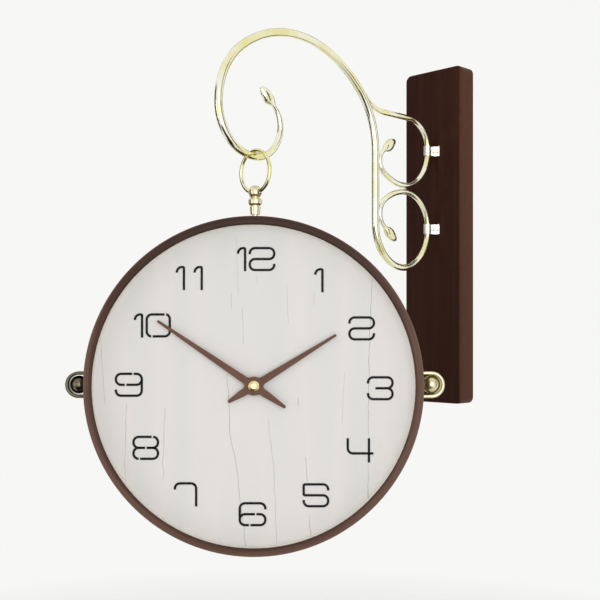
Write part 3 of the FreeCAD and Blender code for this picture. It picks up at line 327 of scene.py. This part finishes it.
# Dials: thin discs of planked wood under a matt white wash. The planks keep a faint tint of their own,
# upright fibres show through, and fine drying cracks run up and down them.
FACES = (("front", 1), ("rear", -1))
CRACKS = (  # depth of tone, then points across and up from the dial's middle, downwards, in millimetres
    (0.8, (118.8, 111.8), (115.8, 41.9), (114.8, -115)),
    (0.35, (-18, 150), (-16, 93.5)),
    (0.5, (-23, 92.5), (-23, 76.3)),
    (0.5, (-11.9, 79.4), (-10.4, 41.9)),
    (0.9, (-27.1, 11.5), (-24.1, -51.4), (-18, -77.7), (-13.9, -112.2), (-8.4, -162)),
    (0.4, (2.8, 111.8), (2.8, 103.7)),
    (0.4, (32.7, 100.6), (35.2, 61.1)),
    (0.4, (60, 94.6), (60, 80.4)),
    (0.6, (14.4, -34.2), (19.5, -79.8), (23.1, -162)),
    (0.8, (43.8, -11.9), (44.4, -21)),
    (0.4, (90.5, 14.5), (88.4, -37.2)),
    (0.8, (51.9, -71.7), (53.6, -97)),
    (0.6, (55.5, -129.4), (57, -155)),
    (0.6, (-128.5, -17.9), (-129.5, -99)),
    (0.6, (-90, -22), (-92, -95)),
    (0.5, (-154.6, 52), (-152.8, 22.6), (-150, -18)))
CRACK_WIDTH = 0.7
CRACK_STRAY = 4


def washed_wood(name, side):
    """The wash on one face: planks' tints, clouds, fibres, and cracks that are worn in places."""
    material, shader, place = new_finish(name, Specular_IOR_Level=0.25)
    right, up, face = face_place(place, side)
    sway = face.noise((0.02, 0.02, 0.06), 3) - 0.5
    wear = face.noise((0.04, 0.04, 0.05), 2)
    plank = face.noise((0.022, 0.5, 0.0016), 1, 0.3)
    cloud = face.noise((0.012, 0.02, 0.008), 3)
    fibre = face.noise((0.45, 0.5, 0.012), 5, 0.7)
    tint = plank.ramp((0.34, (0.755, 0.757, 0.737)), (0.46, (0.815, 0.795, 0.775)),
                      (0.54, (0.835, 0.795, 0.78)), (0.66, (0.785, 0.778, 0.76)))
    wash = (cloud * 0.4).blend(tint, (0.85, 0.825, 0.805, 1))
    wash = (fibre * 0.16).blend(wash, (0.62, 0.605, 0.575, 1))
    gap = 0
    for depth, *points in CRACKS:
        for (high_x, high_y), (low_x, low_y) in zip(points, points[1:]):
            lean = (high_x - low_x) / (high_y - low_y)
            line = abs(right - high_x - (up - high_y) * lean - sway * CRACK_STRAY)
            gap = gap + (line < CRACK_WIDTH / 2) * (up > low_y) * (up < high_y) * depth
    feed(shader, Base_Color=(gap * wear * 1.1).blend(wash, (0.2, 0.19, 0.17, 1)),
         Roughness=0.62 + fibre * 0.2, Normal=relief(fibre * 0.4 - gap, 0.2, 0.0002))
    return material


for name, side in FACES:
    dress(washed_wood(name + "_wash", side), name + "_dial")


# Numerals: strokes cut from thin black sheet with small stencil breaks, glued to the dial upright, all at
# about the same distance from its middle. Each stroke is a bent line, swept with the sheet's section.
STROKE = 0.0024
TALL = 0.022
WIDE = 0.0246
HALF = TALL / 2
TURN = 0.0052  # radius of a round corner, then of a sharp one
SHARP = 0.0013
HOOK = 0.0062  # length of a stroke's free end past a corner
STENCIL = 0.0015
SHEET = 0.0004
SHEET_LIFT = 0.4 * SHEET  # height of the sheet's middle, so that its underside is sunk in the dial


def digit_strokes(digit):
    """Paths of one digit from its lower left corner, with the digit's width. True marks a sharp corner."""
    top, low = TALL - HOOK, HOOK
    over, cut = STROKE / 2, STENCIL / 2
    if digit == "0":
        wide = 0.0232
        high, foot = 0.0187, 0.0052
        return [[(high - cut, TALL), (0, TALL), (0, 0), (foot - cut, 0)],
                [(high + cut, TALL), (wide, TALL), (wide, 0), (foot + cut, 0)]], wide
    if digit == "1":
        stem, flag_end = 0.0071, top + 0.0006
        return [[(0, flag_end), (0, TALL), (stem, TALL, True), (stem, -over)]], stem
    if digit == "2":
        return [[(0, top), (0, TALL), (WIDE, TALL), (WIDE, HALF), (0, HALF), (0, 0), (WIDE, 0),
                 (WIDE, low)]], WIDE
    if digit == "3":
        bar, bar_join = 0.0074, 0.6 * WIDE
        return [[(0, top), (0, TALL), (WIDE, TALL), (WIDE, HALF), (bar, HALF)],
                [(bar_join, HALF), (WIDE, HALF), (WIDE, 0), (0, 0), (0, low)]], WIDE
    if digit == "4":
        stem, bar = 0.0213, 0.0079
        return [[(0, TALL + over), (0, bar), (WIDE + over, bar)],
                [(stem, TALL + over), (stem, -over)]], WIDE
    if digit == "5":
        return [[(WIDE, top), (WIDE, TALL), (0, TALL, True), (0, HALF, True), (WIDE, HALF), (WIDE, 0),
                 (0, 0), (0, low)]], WIDE
    if digit == "6":
        wide = 0.0257
        split, foot = 0.016, 0.01
        return [[(wide, top), (wide, TALL), (0, TALL), (0, 0), (foot - cut, 0)],
                [(foot + cut, 0), (wide, 0), (wide, HALF), (split + cut, HALF)],
                [(split - cut, HALF), (0, HALF), (0, HALF / 2)]], wide
    if digit == "7":
        stem = 0.0214
        return [[(0, top), (0, TALL), (stem, TALL), (stem, -over)]], stem
    if digit == "8":
        high, split, foot = 0.019, 0.0124, 0.006
        return [[(high - cut, TALL), (0, TALL), (0, HALF), (split - cut, HALF)],
                [(high + cut, TALL), (WIDE, TALL), (WIDE, HALF), (split + cut, HALF)],
                [(split - cut, HALF), (0, HALF), (0, 0), (foot - cut, 0)],
                [(split + cut, HALF), (WIDE, HALF), (WIDE, 0), (foot + cut, 0)]], WIDE
    wide = 0.026
    high, split = 0.0171, 0.0098
    return [[(0, low), (0, 0), (wide, 0), (wide, TALL), (high + cut, TALL)],
            [(high - cut, TALL), (0, TALL), (0, HALF), (split - cut, HALF)],
            [(split + cut, HALF), (wide, HALF), (wide, 1.5 * HALF)]], wide


def pick_points(points):
    """Select the vertices of the drawn line that stand at these points."""
    drawn = bmesh.from_edit_mesh(bpy.context.object.data)
    for vertex in drawn.verts:
        vertex.select_set(any((vertex.co - point).length < STROKE / 50 for point in points))
    bmesh.update_edit_mesh(bpy.context.object.data)


def bent_stroke(path, shift, lift):
    """One stroke: a line drawn leg by leg, its corners rounded, then swept with the sheet's section."""
    points = [Vector((point[0] + shift, point[1] + lift, 0)) for point in path]
    inner = list(zip(path, points))[1:-1]
    bpy.ops.mesh.primitive_plane_add(size=STROKE, location=(0, 0, 0))
    stroke = bpy.context.object
    bpy.ops.object.mode_set(mode="EDIT")
    bpy.ops.mesh.select_mode(type="VERT")
    bpy.ops.mesh.merge(type="CENTER")
    bpy.ops.transform.translate(value=points[0])
    for start, end in zip(points, points[1:]):
        bpy.ops.mesh.extrude_region_move(TRANSFORM_OT_translate={"value": end - start})
    for radius, corners in ((SHARP, [place for point, place in inner if len(point) == 3]),
                            (TURN, [place for point, place in inner if len(point) == 2])):
        if corners:
            pick_points(corners)
            bpy.ops.mesh.bevel(affect="VERTICES", offset=radius, segments=7)
    bpy.ops.object.mode_set(mode="OBJECT")
    bpy.ops.object.convert(target="CURVE")
    stroke.data.twist_mode = "Z_UP"
    stroke.data.bevel_mode = "OBJECT"
    stroke.data.bevel_object = section
    stroke.data.use_fill_caps = True
    bpy.ops.object.convert(target="MESH")
    stroke.select_set(False)
    return stroke


DIGIT_GAP = 0.0047
ONES_GAP = 0.0108
PLACES = (  # middle of each hour's numeral, across and up from the dial's middle, in millimetres
    (65.2, 106.3), (108.2, 57.8), (126.9, -2.4), (106.5, -64.8), (62.2, -110.0), (-1.5, -129.0),
    (-68.9, -109.0), (-108.9, -62.3), (-125.9, 1.1), (-102.2, 60.8), (-65.1, 108.5), (2.1, 127.5))


def numeral_strokes(hour):
    """The strokes of one hour's digits, centred on the hour's place."""
    spacing = ONES_GAP if hour == 11 else DIGIT_GAP
    shift, parts = 0, []
    for digit in str(hour):
        paths, width = digit_strokes(digit)
        parts += [(path, shift) for path in paths]
        shift += width + spacing
    x, y = PLACES[hour - 1]
    left, low = x / MM - (shift - spacing) / 2, y / MM - HALF
    return [bent_stroke(path, left + step, low) for path, step in parts]


ink, ink_shader, ink_place = new_finish("black_sheet", Specular_IOR_Level=0.15)
ink_grain = ink_place.noise((900, 900, 900), 3)
feed(ink_shader, Base_Color=ink_grain.ramp((0.3, (0.003, 0.003, 0.0035)), (0.7, (0.008, 0.0075, 0.0075))),
     Roughness=0.42 + ink_grain * 0.2, Normal=relief(ink_grain, 0.1, 0.0001))


def far_side(node, direction):
    """How far a node reaches along a direction from the case's middle."""
    return max((vertex.co - hub).dot(direction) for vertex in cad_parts[node].data.vertices)


bpy.ops.object.select_all(action="DESELECT")
bpy.ops.mesh.primitive_plane_add(size=1, location=(0, 0, 0))
section = bpy.context.object
section.name = "stroke_section"
bpy.ops.object.mode_set(mode="EDIT")
bpy.ops.transform.resize(value=(STROKE, SHEET, 1))
bpy.ops.transform.translate(value=(0, SHEET_LIFT, 0))
bpy.ops.mesh.delete(type="ONLY_FACE")
bpy.ops.object.mode_set(mode="OBJECT")
bpy.ops.object.convert(target="CURVE")
section.select_set(False)
strokes = [stroke for hour in range(1, 13) for stroke in numeral_strokes(hour)]
for stroke in strokes:
    stroke.select_set(True)
bpy.context.view_layer.objects.active = strokes[0]
bpy.ops.object.join()
front_numerals = bpy.context.object
front_numerals.name = "front_numerals"
front_numerals.data.materials.append(ink)
bpy.data.objects.remove(section)
bpy.ops.object.duplicate()
rear_numerals = bpy.context.object
rear_numerals.name = "rear_numerals"
for numerals, (name, side) in zip((front_numerals, rear_numerals), FACES):
    upright = Matrix((across * side, (0, 0, 1), facing * side)).transposed().to_4x4()
    seat = hub + facing * side * far_side(name + "_dial", facing * side)
    numerals.data.transform(Matrix.Translation(seat) @ upright)
    numerals.select_set(False)
    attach(numerals, "clock_case")


# Hands: flat tapered sheet with short tails, lacquered the brown of the rims. The lacquer has flowed a
# little and is rubbed to a fine grain.
lacquer, lacquer_shader, lacquer_place = new_finish(
    "brown_lacquer", Coat_Roughness=0.3, Specular_IOR_Level=0.25)
rub = lacquer_place.noise((500, 500, 500), 4)
flow = lacquer_place.noise((60, 60, 60), 3)
browns = (rub * 0.5 + flow * 0.5).ramp((0.3, (0.108, 0.0445, 0.0235)), (0.7, (0.168, 0.074, 0.044)))
feed(lacquer_shader, Base_Color=browns,
     Roughness=0.38 + rub * 0.2, Coat_Weight=0.04 + flow * 0.06, Normal=relief(rub, 0.1, 0.0001))
dress(lacquer, "front_hour_hand", "front_minute_hand", "rear_hour_hand", "rear_minute_hand")


# Hand caps: small domed brass nuts that hold the hands on. They are turned, with the lathe's fine rings
# on them.
RING_WAVE = 18000  # radians to the metre, out from the middle
cap, cap_shader, cap_place = new_finish("ringed_brass", Metallic=1.0)
from_hub = cap_place.node("VectorMath", {0: cap_place, 1: hub}, operation="SUBTRACT")
cap_radius = from_hub.node("VectorMath", {0: from_hub}, out=1, operation="LENGTH")
rings = cap_radius.math("SINE", cap_radius * RING_WAVE)
cap_cloud = cap_place.noise((300, 300, 300), 3)
feed(cap_shader, Base_Color=cap_cloud.ramp((0.35, (0.74, 0.6, 0.29)), (0.65, (0.85, 0.74, 0.42))),
     Roughness=0.2 + cap_cloud * 0.12, Normal=relief(rings, 0.8, 0.00003))
dress(cap, "front_hand_cap", "rear_hand_cap")


# Movements: moulded black boxes with their covers, white acetal wheels and grey setting knobs, all with
# the mould's fine texture. The circuit board's green mask is smoother.
def moulded(name, dark, pale, rough):
    """Moulded plastic with a fine spark-eroded texture."""
    material, shader, place = new_finish(name)
    texture = place.noise((1400, 1400, 1400), 2)
    cloud = place.noise((70, 70, 70), 3)
    feed(shader, Base_Color=(texture * 0.4 + cloud * 0.6).ramp((0.35, dark), (0.65, pale)),
         Roughness=rough + texture * 0.2, Normal=relief(texture, 0.25, 0.00015))
    return material


black_case = moulded("black_moulding", (0.012, 0.012, 0.013), (0.028, 0.028, 0.03), 0.42)
white_wheels = moulded("white_acetal", (0.74, 0.73, 0.69), (0.86, 0.85, 0.81), 0.34)
grey_knobs = moulded("grey_moulding", (0.24, 0.25, 0.26), (0.36, 0.37, 0.38), 0.4)
board_mask = moulded("green_mask", (0.018, 0.12, 0.045), (0.035, 0.2, 0.08), 0.22)
for name, _ in FACES:
    dress(black_case, name + "_movement_case", name + "_movement_cover")
    dress(white_wheels, name + "_hour_pipe", name + "_motion_wheel")
    dress(grey_knobs, name + "_setting_knob")
    dress(board_mask, name + "_circuit_board")


# Cells and windings: a plain dark sleeve round each cell, and enamelled copper wire wound in close turns
# on each coil.
WINDING_WAVE = 21000  # radians to the metre, along the coil
sleeve, sleeve_shader, sleeve_place = new_finish("cell_sleeve", Coat_Weight=0.3)
sleeve_cloud = sleeve_place.noise((160, 160, 160), 3)
feed(sleeve_shader, Base_Color=sleeve_cloud.ramp((0.3, (0.03, 0.034, 0.042)), (0.7, (0.06, 0.066, 0.078))),
     Roughness=0.25 + sleeve_cloud * 0.15, Metallic=0.2 + sleeve_cloud * 0.2)
winding, winding_shader, winding_place = new_finish("copper_winding", Metallic=0.85)
coil_offset = winding_place.node("VectorMath", {0: winding_place, 1: hub}, operation="SUBTRACT")
along = coil_offset.node("VectorMath", {0: coil_offset, 1: across}, out=1, operation="DOT_PRODUCT")
turns = winding_place.math("SINE", along * WINDING_WAVE)
# Painted shade and highlight: the copper is darker in the grooves between turns and paler on their crests.
copper_painted_groove_shade = (turns * 0.5 + 0.5).ramp((0.0, (0.2, 0.07, 0.025)), (1.0, (0.5, 0.2, 0.08)))
feed(winding_shader, Base_Color=copper_painted_groove_shade,
     Roughness=0.34 - turns * 0.08, Normal=relief(turns, 0.5, 0.0002))
for name, _ in FACES:
    dress(sleeve, name + "_battery")
    dress(winding, name + "_drive_coil")


# Studio: a pale floor well below the clock that fades into the white surroundings, one broad soft lamp
# from the right and a weaker one from the left, both about as high as the dial. Dark flags stand round the
# object for the brass to mirror.
FLOOR_DROP = 0.28
FLOOR = cad_box[0][2] - FLOOR_DROP
FADE_START = 0.35
FADE_OVER = 0.75
PAPER = (0.93, 0.93, 0.915, 1)
bpy.ops.object.select_all(action="DESELECT")
bpy.ops.mesh.primitive_plane_add(size=8, location=(0, hub.y, FLOOR))
floor = bpy.context.object
floor.name = "floor"
paper, paper_shader, paper_place = new_finish("pale_floor", Roughness=0.9, Specular_IOR_Level=0.1)
fade = paper_place.node("VectorMath", {0: paper_place}, out=1, operation="LENGTH")
paper_grain = paper_place.noise((40, 40, 40), 3)
feed(paper_shader, Base_Color=paper_grain.ramp((0.2, (0.86, 0.86, 0.85)), (0.8, PAPER[:3])))
tree = paper.node_tree
clear = tree.nodes.new("ShaderNodeBsdfTransparent")
mixed = fade.node("MixShader", {0: fade.math("SMOOTH_MAX", (fade - FADE_START) / FADE_OVER, 0.0),
                                1: Shade(paper_shader.outputs[0]), 2: Shade(clear.outputs[0])})
tree.links.new(mixed.socket, tree.nodes["Material Output"].inputs["Surface"])
floor.data.materials.append(paper)


def lamp(name, place, target, size, power):
    """A round area lamp aimed at its target."""
    bpy.ops.object.light_add(type="AREA", location=place)
    light = bpy.context.object
    light.name = name
    light.data.shape = "DISK"
    light.data.size = size
    light.data.energy = power
    light.rotation_euler = (Vector(target) - Vector(place)).to_track_quat("-Z", "Y").to_euler()


lamp("key", (1.5, -1.3, 0.0), (0, -0.3, -0.05), 1.6, 8)
lamp("fill", (-0.9, -2.0, 0.0), (0, -0.3, -0.1), 1.3, 5)


def flag(name, place, towards, size):
    """A dark panel that only reflections see."""
    bpy.ops.mesh.primitive_plane_add(size=1, location=place)
    panel = bpy.context.object
    panel.name = name
    panel.scale = (*size, 1)
    panel.rotation_euler = (Vector(towards) - Vector(place)).to_track_quat("Z", "Y").to_euler()
    panel.visible_camera = False
    panel.visible_diffuse = False
    panel.visible_shadow = False
    panel.data.materials.append(ink)


flag("flag_left", (-1.2, -1.35, 0.0), (0, -0.1, 0), (1.5, 1.9))
flag("flag_right", (1.35, 0.2, 0.1), (0, -0.2, 0.1), (0.3, 1.6))
flag("flag_back_left", (-1.6, 0.2, 0.1), (0, -0.3, 0), (0.5, 1.8))
flag("flag_back_right", (0.2, 1.5, 0.1), (0, -0.2, 0.1), (0.4, 1.8))
flag("flag_back_high", (-1.0, 0.8, 1.3), (0, -0.3, 0.1), (1.6, 0.5))
flag("flag_low", (0.3, -0.9, FLOOR + 0.04), (0.3, -0.9, 0), (0.9, 0.9))

world = bpy.data.worlds.new("studio")
bpy.context.scene.world = world
world.use_nodes = True
sky = world.node_tree.nodes["Background"]
rays = world.node_tree.nodes.new("ShaderNodeLightPath").outputs
seen = Shade(rays["Is Camera Ray"]) + Shade(rays["Is Glossy Ray"]) + Shade(rays["Is Transmission Ray"])
AMBIENT = 0.8
world.node_tree.links.new((AMBIENT + (1 - AMBIENT) * (seen > 0.5)).socket, sky.inputs["Strength"])
sky.inputs["Color"].default_value = PAPER

# Camera: level and square to the clock's face, a little above its middle, at the distance that the
# bracket's foreshortening gives.
LENS = 60
SENSOR = 36
AXIS_DEPTH = 1.031
AXIS_LEFT = 0.0462
EYE_DROP = 0.1136
HORIZON = 28 / 600
bpy.ops.object.camera_add()
camera = bpy.context.object
camera.location = hub + facing * AXIS_DEPTH + across * AXIS_LEFT
camera.location.z = -EYE_DROP
camera.rotation_euler = (math.radians(90), 0, CASE_TURN)
camera.data.lens = LENS
camera.data.sensor_width = SENSOR
camera.data.shift_y = HORIZON
bpy.context.scene.camera = camera
bpy.context.scene.view_settings.view_transform = "Standard"
